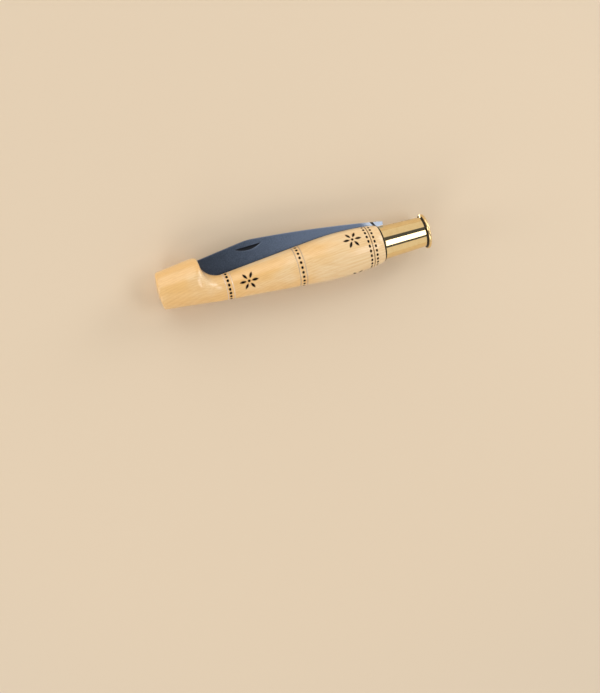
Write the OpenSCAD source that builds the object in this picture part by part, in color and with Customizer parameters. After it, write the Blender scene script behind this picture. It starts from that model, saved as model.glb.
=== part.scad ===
// Folding pen knife with a turned boxwood handle, a leaf-shaped blade and a turning brass ferrule.
// It lies on its side: +X runs from the butt to the ferrule, the blade's back faces +Y and +Z is up.
// The origin is the middle of the footprint, on the surface that the knife lies on.

/* [Clog-shaped butt] */
// Radius of the butt where its rounded rim meets the tapered side
butt_r = 8; // [7:0.1:9]
// Radius of the shallow dome on the butt's end
butt_dome_r = 30; // [20:1:60]
// Rounding of the butt's rim
butt_rim_r = 0.9; // [0.4:0.1:1.5]
// Half angle of the taper from the butt up to the crest
clog_angle = 6.8; // [5.5:0.1:8]
// Distance from the butt to the crest
clog_length = 18.3; // [16:0.1:21]
// Rounding of the crest where it turns down into the scoop
crest_r = 2.5; // [1.5:0.1:4]
// How far the rounded crest face leans back towards the butt
crest_lean = 1; // [0.5:0.1:1.4]

/* [Turned spindle] */
// Radius of the scoop between the crest and the waist
scoop_r = 7.75; // [6:0.05:9]
// Radius of the wood at the waist
waist_r = 5.65; // [5.2:0.05:6.5]
// Half angle of the straight taper from the waist to the belly
spindle_angle = 5; // [4:0.1:6]
// Distance from the butt to the start of the belly's curve
belly_start = 68; // [60:0.5:72]
// Radius of the long curve along the belly
belly_curve_r = 126; // [110:1:150]
// Length of the rounded shoulder next to the ferrule
shoulder_length = 4; // [2.5:0.1:5.5]
// Radius of the rounded shoulder next to the ferrule
shoulder_r = 16; // [13:0.5:24]
// Distance from the butt to the end of the bare wood
wood_length = 97.5; // [96.5:0.1:99]

/* [Turning ferrule] */
// Length of the ferrule from its rear lip to its beaded end
ferrule_length = 20.7; // [19.5:0.1:22]
// Inside radius of the ferrule at its rear end
ferrule_bore_r = 6.5; // [6.4:0.05:6.7]
// Half angle of the ferrule's taper towards its beaded end
ferrule_taper = 2; // [1.5:0.1:2.4]
// Thickness of the rolled brass sheet
ferrule_wall = 0.7; // [0.5:0.05:0.9]
// Radius of the rolled bead round the front end
bead_r = 0.58; // [0.45:0.01:0.7]
// How far the bead stands out from the tube
bead_rise = 1.15; // [0.9:0.05:1.3]
// Radius of the groove that the rolling leaves behind the bead
bead_groove_r = 0.42; // [0.3:0.02:0.5]
// Depth of that groove
bead_groove_depth = 0.28; // [0.1:0.02:0.35]
// Width of the slit that lets the blade through
slit_w = 3; // [2.7:0.05:3.6]
// How far the rear lip is turned in, to hold the ferrule on the neck
lip_depth = 0.55; // [0.4:0.05:0.8]
// Gap between the ferrule and the wood at either end of its lip
ferrule_end_gap = 0.3; // [0.2:0.05:0.5]
// Running clearance between the neck and the ferrule
neck_clear = 0.05; // [0.02:0.01:0.1]
// How far the neck stops short of the ferrule's end
neck_short = 0.5; // [0.2:0.1:1]
// Chamfer round the neck's end
neck_chamfer = 0.4; // [0.2:0.1:0.6]

/* [Blade] */
// Thickness of the blade at its back and tang
blade_t = 2.1; // [1.8:0.05:2.2]
// Height above the edge at which the flat grind reaches full thickness
grind_height = 14.3; // [13:0.1:15.5]
// Distance from the pivot to the point of the blade
blade_reach = 99.5; // [96:0.5:100]
// Height of the back of the blade over the pivot line at its highest
back_height = 8.6; // [8:0.05:9]
// Distance from the pivot to the highest place of the back
back_top_at = 52; // [48:0.5:56]
// Radius of the long curve of the back
back_r = 560; // [450:10:800]
// Distance from the pivot to the start of the bend in the back
bend_at = 66; // [62:0.5:70]
// Radius of the bend
bend_r = 26; // [15:1:40]
// Slope of the straight back between the bend and the point
drop_angle = 13.4; // [12.6:0.1:14.2]
// Depth of the edge below the pivot line at the heel
heel_depth = 5; // [4.6:0.05:5.2]
// Distance from the pivot to the heel of the edge
heel_at = 12.6; // [12:0.1:14]
// Slope of the straight part of the edge
edge_angle = 1.86; // [1.4:0.02:2.2]
// Distance from the pivot to the start of the curved part of the edge
curve_at = 62; // [56:0.5:68]
// Gap between the ferrule's end and the step of the opened blade
step_gap = 0.4; // [0.3:0.05:0.6]
// Length of the unground ricasso next to the step
ricasso_length = 4.2; // [3.5:0.1:5]
// Length of the nail nick
nick_length = 12.9; // [10:0.1:14]
// Width of the nail nick at its middle
nick_w = 2.1; // [1.6:0.05:2.5]
// Radius of the wheel that cut the nail nick
nick_wheel_r = 25; // [20:1:32]
// Distance from the pivot to the middle of the nail nick
nick_at = 69; // [66:0.1:71]
// Height of the nail nick's upper edge over the pivot line
nick_height = 5.7; // [5:0.05:6]
// Slope of the nail nick along the blade
nick_angle = 6.8; // [5:0.1:9]

/* [Pivot] */
// Distance from the end of the bare wood to the pivot
pivot_in = 11.9; // [11.7:0.05:12.3]
// Offset of the pivot from the handle's axis towards the slot
pivot_offset = 1; // [0.8:0.05:1.2]
// Radius of the pivot pin
pin_r = 1.25; // [1:0.05:1.5]
// Radius of the round end of the tang
tang_r = 4.2; // [3.9:0.05:4.3]
// Angle between the closed blade and the handle's axis
closed_tilt = 6; // [5.8:0.1:6.3]
// Running clearance between the pin and the blade
pin_clear = 0.05; // [0.02:0.01:0.1]
// Interference of the pin in the wood, on the radius
pin_press = 0.01; // [0.01:0.01:0.03]
// How far the pin's ends stay below the surface of the neck
pin_recess = 0.3; // [0.1:0.05:0.6]

/* [Blade slot] */
// Clearance between the blade and each side of the slot
slot_side_clear = 0.25; // [0.15:0.05:0.4]
// Clearance between the tang and the floor of the slot
stop_clear = 0.15; // [0.1:0.05:0.3]
// Clearance between the closed edge and the floor of the slot
edge_clear = 0.8; // [0.5:0.05:1.2]
// Radius of the saw whose run-out ends the slot in the clog
saw_r = 26; // [22:0.5:32]
// Distance between the closed blade's point and the saw's run-out
tip_clear = 1.2; // [0.8:0.1:1.6]
// Clearance between the blade's step and the ferrule wall that passes under it
step_clear = 0.2; // [0.15:0.05:0.3]

/* [Hidden] */
$fn = 96;
wheel_fn = 180;
overcut = 2;

// Clog: a cone on its own axis, whose underside is flush with the spindle's waist
rim_angle = asin((butt_r - butt_rim_r * cos(clog_angle)) / (butt_dome_r - butt_rim_r));
clog_rim = [butt_dome_r, 0] + (butt_dome_r - butt_rim_r) * [-cos(rim_angle), sin(rim_angle)];
clog_side_start = clog_rim + butt_rim_r * [-sin(clog_angle), cos(clog_angle)];
waist_x = clog_length + crest_lean + scoop_r;
function clog_radius(x) = clog_side_start[1] + (x - clog_side_start[0]) * tan(clog_angle);
clog_offset = clog_radius(waist_x) - waist_r;

// Spindle: scoop, straight taper, belly and shoulder, each tangent to the last
scoop_centre = [waist_x, waist_r + scoop_r];
taper_start = scoop_centre + scoop_r * [sin(spindle_angle), -cos(spindle_angle)];
belly_y = taper_start[1] + (belly_start - taper_start[0]) * tan(spindle_angle);
belly_centre = [belly_start, belly_y] + belly_curve_r * [sin(spindle_angle), -cos(spindle_angle)];
belly_r = belly_centre[1] + belly_curve_r;
shoulder_angle = asin((wood_length - shoulder_length - belly_centre[0]) / belly_curve_r);
shoulder_centre = belly_centre + (belly_curve_r - shoulder_r) * [sin(shoulder_angle), cos(shoulder_angle)];
shoulder_end_angle = asin((wood_length - shoulder_centre[0]) / shoulder_r);
stock_r = clog_radius(waist_x) + clog_offset + overcut;

// Neck, ferrule and pivot
pivot_at = wood_length + pivot_in;
ferrule_x = wood_length + ferrule_end_gap;
ferrule_end = ferrule_x + ferrule_length;
function bore_r(x) = ferrule_bore_r - (x - ferrule_x) * tan(ferrule_taper);
function neck_r(x) = bore_r(x) - neck_clear;
function ferrule_r(x) = bore_r(x) + ferrule_wall;
lip_r = ferrule_bore_r - lip_depth;
groove_end = ferrule_x + ferrule_wall + ferrule_end_gap;
neck_end = ferrule_end - neck_short;
bead_centre = [ferrule_end - bead_r, ferrule_r(ferrule_end) + bead_rise - bead_r];
slot_w = blade_t + 2 * slot_side_clear;

// Blade outline, drawn with the point towards -X and the back towards +Y, the pivot at the origin
back_centre = [back_top_at, back_height - back_r];
bend_start_angle = asin((bend_at - back_top_at) / back_r);
bend_centre = back_centre + (back_r - bend_r) * [sin(bend_start_angle), cos(bend_start_angle)];
drop_start = bend_centre + bend_r * [sin(drop_angle), cos(drop_angle)];
tip = [blade_reach, drop_start[1] - (blade_reach - drop_start[0]) * tan(drop_angle)];
edge_y = -heel_depth - (curve_at - heel_at) * tan(edge_angle);
edge_dir = [cos(edge_angle), -sin(edge_angle)];
edge_up = [sin(edge_angle), cos(edge_angle)];
chord = tip - [curve_at, edge_y];
edge_curve_r = (chord * chord) / (2 * (chord * edge_up));
edge_centre = [curve_at, edge_y] + edge_curve_r * edge_up;
grind_slope = blade_t / 2 / grind_height;
grind_reach = back_height - edge_y + 3 * overcut;
step_at = ferrule_end - pivot_at + step_gap;
step_angle = asin((step_at - back_top_at) / back_r);
plunge_at = step_at + ricasso_length;

// Where a point of the blade, given as distance and height from the pivot, lies when it is closed
function closed(p) = [
    pivot_at - p[0] * cos(closed_tilt) + p[1] * sin(closed_tilt),
    pivot_offset + p[0] * sin(closed_tilt) + p[1] * cos(closed_tilt)
];
back_points = arc(back_centre, back_r, 90 - step_angle, 90 - bend_start_angle, 16);
bend_points = arc(bend_centre, bend_r, 90 - bend_start_angle, 90 - drop_angle, 5);
closed_back_top = max([for (p = bend_points) closed(p)[1]]);

// Slot floor, parallel to the closed edge and level round the pivot
slot_floor = pivot_offset - tang_r - stop_clear;
closed_heel = closed([heel_at, -heel_depth]);
floor_slope = tan(closed_tilt - edge_angle);
function floor_y(x) = closed_heel[1] - edge_clear + (closed_heel[0] - x) * floor_slope;
floor_turn = closed_heel[0] - (slot_floor - floor_y(closed_heel[0])) / floor_slope;
closed_tip = closed(tip);
saw_y = floor_y(waist_x) + saw_r;
saw_x = closed_tip[0] - tip_clear + sqrt(saw_r * saw_r - (saw_y - closed_tip[1]) * (saw_y - closed_tip[1]));
slot_top = closed_back_top + overcut;

// Nail nick, cut by the rim of a tilted wheel: its flat side makes the straight upper edge
nick_lift = sqrt(nick_wheel_r * nick_wheel_r - nick_length * nick_length / 4);
nick_tilt = atan((nick_wheel_r - nick_lift) / nick_w);
nick_face = grind_slope * min(grind_height, nick_height - edge_y);

// The pin stays inside the neck
pin_neck_r = neck_r(pivot_at + pin_r);
pin_half = sqrt(pin_neck_r * pin_neck_r - (pivot_offset + pin_r) * (pivot_offset + pin_r)) - pin_recess;

// Place on the surface: the clog's underside is lowest where the scoop starts to cut it
crest_reach = norm([clog_offset, clog_radius(clog_length + crest_lean)]);
clog_low_x = waist_x - sqrt(scoop_r * scoop_r - (scoop_centre[1] - crest_reach) * (scoop_centre[1] - crest_reach));
side_low = -belly_r;
side_high = max(closed_back_top, clog_offset + clog_radius(clog_length));
base_z = max(belly_r, clog_radius(clog_low_x));

function arc(c, r, a0, a1, n) = [for (i = [0:n]) let (a = a0 + (a1 - a0) * i / n) c + r * [cos(a), sin(a)]];

// Turns an outline of [distance along X, radius] points round the X axis
module turned(outline) {
    rotate([0, 90, 0])
        rotate_extrude()
            polygon([for (p = outline) [p[1], p[0]]]);
}

module placed() {
    translate([-ferrule_end / 2, -(side_low + side_high) / 2, base_z])
        children();
}

// The blade, drawn point left, laid into its closed place
module closed_blade() {
    translate([pivot_at, pivot_offset, 0])
        rotate([0, 0, -closed_tilt])
            children();
}

// First turning: the tapered clog with its domed end, on an axis set off towards the slot
module clog_turning() {
    translate([0, clog_offset, 0])
        turned(concat(
            arc([butt_dome_r, 0], butt_dome_r, 180, 180 - rim_angle, 6),
            arc(clog_rim, butt_rim_r, 180 - rim_angle, 90 + clog_angle, 8),
            [
                [neck_end + overcut, clog_radius(neck_end + overcut)],
                [neck_end + overcut, 0]
            ]
        ));
}

// Second turning: scoop, waist, belly, shoulder and neck, on the ferrule's axis
module spindle_turning() {
    turned(concat(
        [[-overcut, 0], [-overcut, stock_r], [clog_length - crest_r, stock_r]],
        arc([waist_x - scoop_r - crest_r, scoop_centre[1]], crest_r, 90, 0, 8),
        arc(scoop_centre, scoop_r, 180, 270 + spindle_angle, 24),
        arc(belly_centre, belly_curve_r, 90 + spindle_angle, 90 - shoulder_angle, 14),
        arc(shoulder_centre, shoulder_r, 90 - shoulder_angle, 90 - shoulder_end_angle, 5),
        [
            [wood_length, lip_r - neck_clear],
            [groove_end, lip_r - neck_clear],
            [groove_end, neck_r(groove_end)],
            [neck_end - neck_chamfer, neck_r(neck_end - neck_chamfer)],
            [neck_end, neck_r(neck_end) - neck_chamfer],
            [neck_end, 0]
        ]
    ));
}

// The saw cut that takes the closed blade, with the saw's run-out in the clog
module blade_slot() {
    translate([0, 0, -slot_w / 2])
        linear_extrude(slot_w)
            union() {
                polygon([
                    [neck_end + overcut, slot_floor],
                    [floor_turn, slot_floor],
                    [saw_x, floor_y(saw_x)],
                    [saw_x, slot_top],
                    [neck_end + overcut, slot_top]
                ]);
                translate([saw_x, saw_y])
                    circle(r = saw_r);
            }
}

module handle() {
    color("burlywood")
        placed()
            difference() {
                intersection() {
                    clog_turning();
                    spindle_turning();
                }
                blade_slot();
                translate([pivot_at, pivot_offset, -stock_r])
                    cylinder(h = 2 * stock_r, r = pin_r - pin_press);
            }
}

// Leaf of the blade seen from the side, from the squared step at its heel to the point
module leaf_outline() {
    polygon([for (p = concat(
        back_points,
        bend_points,
        [tip, [blade_reach, edge_y - overcut], [heel_at, edge_y - overcut], [heel_at, -tang_r]],
        [[step_at, -tang_r]]
    )) [-p[0], p[1]]]);
}

// Tang: a bar of even width with a round end about the pivot
module tang_outline() {
    circle(r = tang_r);
    translate([-heel_at, -tang_r])
        square([heel_at, 2 * tang_r]);
}

// Room in the closed blade for the wall of the turning ferrule and, deeper, for its lip
module ferrule_path() {
    start = ferrule_x - ferrule_end_gap;
    outer = ferrule_r(ferrule_x) + step_clear;
    rotate(closed_tilt)
        for (room = [[bore_r(pivot_at), pivot_at], [lip_r, groove_end]]) {
            inner = sqrt(room[0] * room[0] - blade_t * blade_t / 4) - step_clear;
            translate([start - pivot_at, inner - pivot_offset])
                square([room[1] - start, outer - inner]);
        }
}

// Flat grind: a long wedge along the straight edge and a sharp-rimmed disc round the curved edge
module grind() {
    thick = grind_reach * grind_slope;
    translate([-curve_at, edge_y, 0])
        rotate([0, 0, edge_angle])
            rotate([0, 90, 0])
                linear_extrude(curve_at)
                    polygon([[0, 0], [thick, grind_reach], [-thick, grind_reach]]);
    translate([-edge_centre[0], edge_centre[1], 0])
        rotate_extrude($fn = wheel_fn)
            polygon([
                [edge_curve_r, 0],
                [edge_curve_r - grind_reach, thick],
                [edge_curve_r - grind_reach, -thick]
            ]);
}

// Nail nick on the face that looks up when the knife lies on its side
module nail_nick() {
    translate([-nick_at, nick_height, nick_face])
        rotate([0, 0, nick_angle])
            rotate([90 - nick_tilt, 0, 0])
                translate([0, nick_lift, 0])
                    cylinder(h = 3 * nick_w, r = nick_wheel_r, $fn = wheel_fn);
}

module blade() {
    color("slategray")
        placed()
            closed_blade()
                difference() {
                    union() {
                        intersection() {
                            translate([0, 0, -blade_t / 2])
                                linear_extrude(blade_t)
                                    difference() {
                                        leaf_outline();
                                        ferrule_path();
                                    }
                            grind();
                        }
                        translate([0, 0, -blade_t / 2])
                            linear_extrude(blade_t)
                                difference() {
                                    union() {
                                        tang_outline();
                                        intersection() {
                                            leaf_outline();
                                            translate([-plunge_at, -heel_depth])
                                                square([plunge_at, heel_depth + back_height + overcut]);
                                        }
                                    }
                                    ferrule_path();
                                }
                    }
                    nail_nick();
                    translate([0, 0, -blade_t])
                        cylinder(h = 2 * blade_t, r = pin_r + pin_clear);
                }
}

module pivot_pin() {
    color("lightgray")
        placed()
            translate([pivot_at, pivot_offset, -pin_half])
                cylinder(h = 2 * pin_half, r = pin_r);
}

// Tapered tube with a turned-in rear lip, a rolled bead in front and a slit from end to end
module ferrule() {
    rear = [ferrule_x + ferrule_wall / 2, ferrule_r(ferrule_x + ferrule_wall / 2) - ferrule_wall / 2];
    groove_x = bead_centre[0] - bead_r - bead_groove_r;
    color("gold")
        placed()
            difference() {
                turned(concat(
                    [[ferrule_x, lip_r]],
                    arc(rear, ferrule_wall / 2, 180, 90 - ferrule_taper, 4),
                    [[groove_x - bead_groove_r, ferrule_r(groove_x - bead_groove_r)]],
                    arc([groove_x, ferrule_r(groove_x) + bead_groove_r - bead_groove_depth], bead_groove_r, 225, 315, 5),
                    arc(bead_centre, bead_r, 180, 0, 12),
                    arc([ferrule_end - ferrule_wall, ferrule_r(ferrule_end)], ferrule_wall, 0, -90, 5),
                    [
                        [ferrule_x + ferrule_wall, bore_r(ferrule_x + ferrule_wall)],
                        [ferrule_x + ferrule_wall, lip_r]
                    ]
                ));
                translate([ferrule_x - overcut, 0, -slit_w / 2])
                    cube([ferrule_length + 2 * overcut, stock_r, slit_w]);
            }
}

handle();
blade();
pivot_pin();
ferrule();
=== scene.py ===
"""Looks of a folding pen knife with a turned boxwood handle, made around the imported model.

The classes below hold their sizes in millimetres, measured from the tip of the butt along the
ferrule's axis. The angle round that axis is 0 at the slot, grows towards the face that looks up and
stays within half a turn. Meshes are in metres.

A formula on Values serves twice: a mesh gives it numpy arrays and a shader gives it signals.
"""

from __future__ import annotations

import logging
import math
from dataclasses import dataclass
from enum import Enum

import bmesh
import bpy
import numpy as np
from mathutils import Matrix, Vector
from numpy.lib.mixins import NDArrayOperatorsMixin

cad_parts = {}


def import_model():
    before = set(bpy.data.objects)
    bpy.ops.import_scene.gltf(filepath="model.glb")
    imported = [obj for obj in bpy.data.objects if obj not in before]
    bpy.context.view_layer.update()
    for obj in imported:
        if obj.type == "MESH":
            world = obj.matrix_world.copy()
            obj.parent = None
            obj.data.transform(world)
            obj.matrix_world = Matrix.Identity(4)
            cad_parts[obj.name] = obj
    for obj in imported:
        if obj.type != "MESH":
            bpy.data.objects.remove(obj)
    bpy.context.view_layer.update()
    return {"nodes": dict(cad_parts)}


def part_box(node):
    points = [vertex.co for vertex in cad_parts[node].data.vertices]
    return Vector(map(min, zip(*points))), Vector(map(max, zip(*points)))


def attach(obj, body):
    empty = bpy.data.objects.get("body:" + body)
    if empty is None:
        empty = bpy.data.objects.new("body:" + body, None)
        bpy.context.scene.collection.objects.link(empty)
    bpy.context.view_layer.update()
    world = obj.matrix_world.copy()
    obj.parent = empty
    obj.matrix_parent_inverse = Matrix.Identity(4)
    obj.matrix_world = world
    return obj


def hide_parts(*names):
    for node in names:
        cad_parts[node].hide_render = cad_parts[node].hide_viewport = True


METRES = 0.001
TURN = 2 * math.pi
SHARP_ANGLE = math.radians(38)
SAME_PLACE = 2e-7
HALVINGS = 22
REPEATS = 8
MOST_SINE = 0.9
Colour = tuple[float, float, float]
Place = tuple[float, float, float]
Span = tuple[float, float]

log = logging.getLogger("pen_knife")


class Body(Enum):
    """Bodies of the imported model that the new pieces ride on."""

    HANDLE = "handle"
    FERRULE = "ferrule"


class Slot(Enum):
    """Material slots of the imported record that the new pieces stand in."""

    BOXWOOD = "boxwood"
    PIN_STEEL = "pin_steel"
    BRASS = "brass"


@dataclass(frozen=True)
class FerruleAxis:
    """Line through the knife on which its spindle was turned and on which the ferrule turns."""

    butt_x: float
    y: float
    z: float

    @classmethod
    def from_frame(cls) -> FerruleAxis:
        """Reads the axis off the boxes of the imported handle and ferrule.

        Returns:
            The axis, in millimetres in the row frame.
        """
        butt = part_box("handle")[0]
        low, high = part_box("ferrule")
        bead_radius = (high.z - low.z) / 2
        return cls(butt.x / METRES, (low.y + bead_radius) / METRES, (low.z + high.z) / 2 / METRES)

    def points(self, along: np.ndarray, across: np.ndarray, height: np.ndarray) -> np.ndarray:
        """Turns distances from the butt and from the axis into points of the row frame.

        Args:
            along: Distance from the butt.
            across: Distance from the axis towards the slot.
            height: Distance from the axis upwards.

        Returns:
            An array with a last axis of x, y and z in metres.
        """
        along, across, height = np.broadcast_arrays(along, across, height)
        return np.stack([along + self.butt_x, across + self.y, height + self.z], axis=-1) * METRES


def arc(centre: Span, radius: float, start: float, end: float, steps: int) -> np.ndarray:
    """Points on an arc in the plane of distance and radius.

    Formula: the centre plus the radius times the cosine and sine of evenly stepped angles.

    Args:
        centre: Distance and radius of the arc's centre.
        radius: Radius of the arc.
        start: First angle in degrees.
        end: Last angle in degrees.
        steps: Number of chords.

    Returns:
        An array of steps + 1 points.
    """
    angle = np.radians(np.linspace(start, end, steps + 1))
    around = np.stack([np.cos(angle), np.sin(angle)], axis=1)
    return np.array(centre) + radius * around


def half_chord(radius: float | np.ndarray, away: np.ndarray) -> np.ndarray:
    """Half the chord of a circle at a distance from its centre. Formula: Pythagoras."""
    return np.sqrt(np.maximum(radius**2 - away**2, 0))


def smoothstep(low: float, high: float, value: np.ndarray) -> np.ndarray:
    """Rises from 0 at low to 1 at high along a cubic curve that is level at both ends."""
    share = np.clip((value - low) / (high - low), 0, 1)
    return share * share * (3 - 2 * share)


def soft_minimum(first: np.ndarray, second: np.ndarray, blend: np.ndarray) -> np.ndarray:
    """The smaller of two values, with a rounded change from one to the other.

    Formula: the minimum, less a quarter of the blend times the square of how near the two values
    are, from 0 when they differ by the blend to 1 when they are equal.

    Args:
        first: One value.
        second: The other value.
        blend: Difference of the values at which the rounding starts.

    Returns:
        The rounded minimum.
    """
    near = np.clip(blend - np.abs(first - second), 0, None) / blend
    return np.minimum(first, second) - near * near * blend / 4


def tube_piece(name: str, grid: np.ndarray, reverse: bool) -> bpy.types.Object:
    """Puts a surface that closes round its columns, with a cap at each end, into a new object.

    Formula: point (i, j) has the index i * columns + j. A quad takes j, j + 1 and the same two of
    the next row, and the caps are the first and the last row.

    Args:
        name: Name of the object and its mesh.
        grid: Points in metres by row and column.
        reverse: Whether each face is turned over, so that it points outwards.

    Returns:
        The linked object at the origin, shaded smooth but for its sharp edges.
    """
    rows, columns = grid.shape[:2]
    order = -1 if reverse else 1
    index = np.arange(rows * columns).reshape(rows, columns)
    following = np.roll(index, -1, axis=1)
    quads = np.stack([index[:-1], following[:-1], following[1:], index[1:]], axis=-1).reshape(-1, 4)
    corners = np.concatenate([quads[:, ::order].ravel(), index[0, ::-order], index[-1, ::order]])
    sizes = np.array([4] * len(quads) + [columns] * 2)
    mesh = bpy.data.meshes.new(name)
    mesh.vertices.add(rows * columns)
    mesh.vertices.foreach_set("co", grid.astype(np.float32).ravel())
    mesh.loops.add(len(corners))
    mesh.loops.foreach_set("vertex_index", corners.astype(np.int32))
    mesh.polygons.add(len(sizes))
    mesh.polygons.foreach_set("loop_start", (np.cumsum(sizes) - sizes).astype(np.int32))
    mesh.update(calc_edges=True)
    mesh.validate()
    mesh.shade_smooth()
    mesh.set_sharp_from_angle(angle=SHARP_ANGLE)
    piece = bpy.data.objects.new(name, mesh)
    bpy.context.scene.collection.objects.link(piece)
    return piece


class Signal(NDArrayOperatorsMixin):
    """A value in a node tree. Sums and numpy functions of it add Math nodes to that tree."""

    OPERATIONS = {
        "add": "ADD",
        "subtract": "SUBTRACT",
        "multiply": "MULTIPLY",
        "divide": "DIVIDE",
        "maximum": "MAXIMUM",
        "minimum": "MINIMUM",
        "absolute": "ABSOLUTE",
        "greater": "GREATER_THAN",
        "rint": "ROUND",
        "sqrt": "SQRT",
        "sin": "SINE",
        "cos": "COSINE",
        "arctan2": "ARCTAN2",
    }

    def __init__(self, wiring: Wiring, socket: bpy.types.NodeSocket) -> None:
        """Names an output socket of the wiring's tree."""
        self.wiring, self.socket = wiring, socket

    def __array_ufunc__(self, function: np.ufunc, method: str, *values: object) -> Signal:
        """Adds the Math node that does what a numpy function does to arrays."""
        return self.wiring.math(self.OPERATIONS[function.__name__], *values)

    def vector(self, operation: str, *others: object) -> Signal:
        """The result of a Vector Math node.

        Args:
            operation: Blender's name for the operation.
            *others: Vectors and signals that it takes besides this one.

        Returns:
            The result, which is a number for DOT_PRODUCT and LENGTH.
        """
        output = "Value" if operation in ("DOT_PRODUCT", "LENGTH") else "Vector"
        inputs = dict(enumerate([self, *others]))
        return self.wiring.signal("ShaderNodeVectorMath", inputs, output, operation=operation)

    def parts(self) -> tuple[Signal, ...]:
        """The x, y and z of this vector."""
        return tuple(self.wiring.signals("ShaderNodeSeparateXYZ", {0: self}).values())

    def rise(self, low: float, high: float, start: float = 0.0, end: float = 1.0) -> Signal:
        """A smooth change from start at low to end at high. Low may be the larger one."""
        inputs = dict(enumerate([self, low, high, start, end]))
        return self.wiring.signal("ShaderNodeMapRange", inputs, interpolation_type="SMOOTHSTEP")

    def noise(self, scale: float, detail: float, stretch: object = None) -> Signal:
        """Fractal noise round 0.5 over this vector.

        Args:
            scale: Turns a millimetre.
            detail: Levels of finer noise.
            stretch: Factors of the three directions, drawn out where they are small.

        Returns:
            The noise.
        """
        drawn = self if stretch is None else self.vector("MULTIPLY", stretch)
        inputs = {"Vector": drawn, "Scale": scale, "Detail": detail}
        return self.wiring.signal("ShaderNodeTexNoise", inputs)

    def blend(self, under: Colour | Signal, over: Colour | Signal) -> Signal:
        """The colour between two colours, with this mask as the second one's share."""
        inputs = {0: self, 6: under, 7: over}
        return self.wiring.signal("ShaderNodeMix", inputs, 2, data_type="RGBA")


Values = np.ndarray | Signal
Masks = tuple[Signal, Signal, Signal | float]


class Wiring:
    """Adds nodes to one node tree and joins them."""

    def __init__(self, tree: bpy.types.NodeTree) -> None:
        """Starts on a tree."""
        self.tree = tree

    def feed(self, socket: bpy.types.NodeSocket, value: object) -> None:
        """Links a signal to an input socket, or sets the socket's own value.

        Args:
            socket: The input socket.
            value: A signal, a number or a tuple of three.
        """
        if isinstance(value, Signal):
            self.tree.links.new(value.socket, socket)
        else:
            socket.default_value = (*value, 1.0) if socket.type == "RGBA" else value

    def node(self, kind: str, inputs: dict | None = None, **settings: object) -> bpy.types.Node:
        """Adds a node.

        Args:
            kind: Blender's name for the node.
            inputs: Values and signals by the name or index of their input.
            **settings: Properties of the node itself.

        Returns:
            The new node.
        """
        made = self.tree.nodes.new(kind)
        for key, value in settings.items():
            setattr(made, key, value)
        for key, value in (inputs or {}).items():
            self.feed(made.inputs[key], value)
        return made

    def signal(
        self, kind: str, inputs: dict | None = None, output: str | int = 0, **settings: object
    ) -> Signal:
        """One output of a new node, which is otherwise set up as node does it."""
        return Signal(self, self.node(kind, inputs, **settings).outputs[output])

    def signals(
        self, kind: str, inputs: dict | None = None, **settings: object
    ) -> dict[str, Signal]:
        """All outputs by name of a new node, which is otherwise set up as node does it."""
        made = self.node(kind, inputs, **settings)
        return {socket.name: Signal(self, socket) for socket in made.outputs}

    def math(self, operation: str, *values: object) -> Signal:
        """The result of a Math node on one to three values or signals."""
        return self.signal("ShaderNodeMath", dict(enumerate(values)), operation=operation)


def start_group(
    name: str, inputs: dict[str, str], outputs: dict[str, str]
) -> tuple[Wiring, dict[str, Signal]]:
    """Starts a shader node group.

    Args:
        name: Name of the group.
        inputs: Input name to socket kind, such as Float or Vector.
        outputs: Output name to socket kind.

    Returns:
        The wiring of the group's tree, and its inputs by name.
    """
    tree = bpy.data.node_groups.new(name, "ShaderNodeTree")
    for way, sockets in (("INPUT", inputs), ("OUTPUT", outputs)):
        for label, kind in sockets.items():
            tree.interface.new_socket(name=label, in_out=way, socket_type=f"NodeSocket{kind}")
    wiring = Wiring(tree)
    return wiring, wiring.signals("NodeGroupInput")


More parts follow.
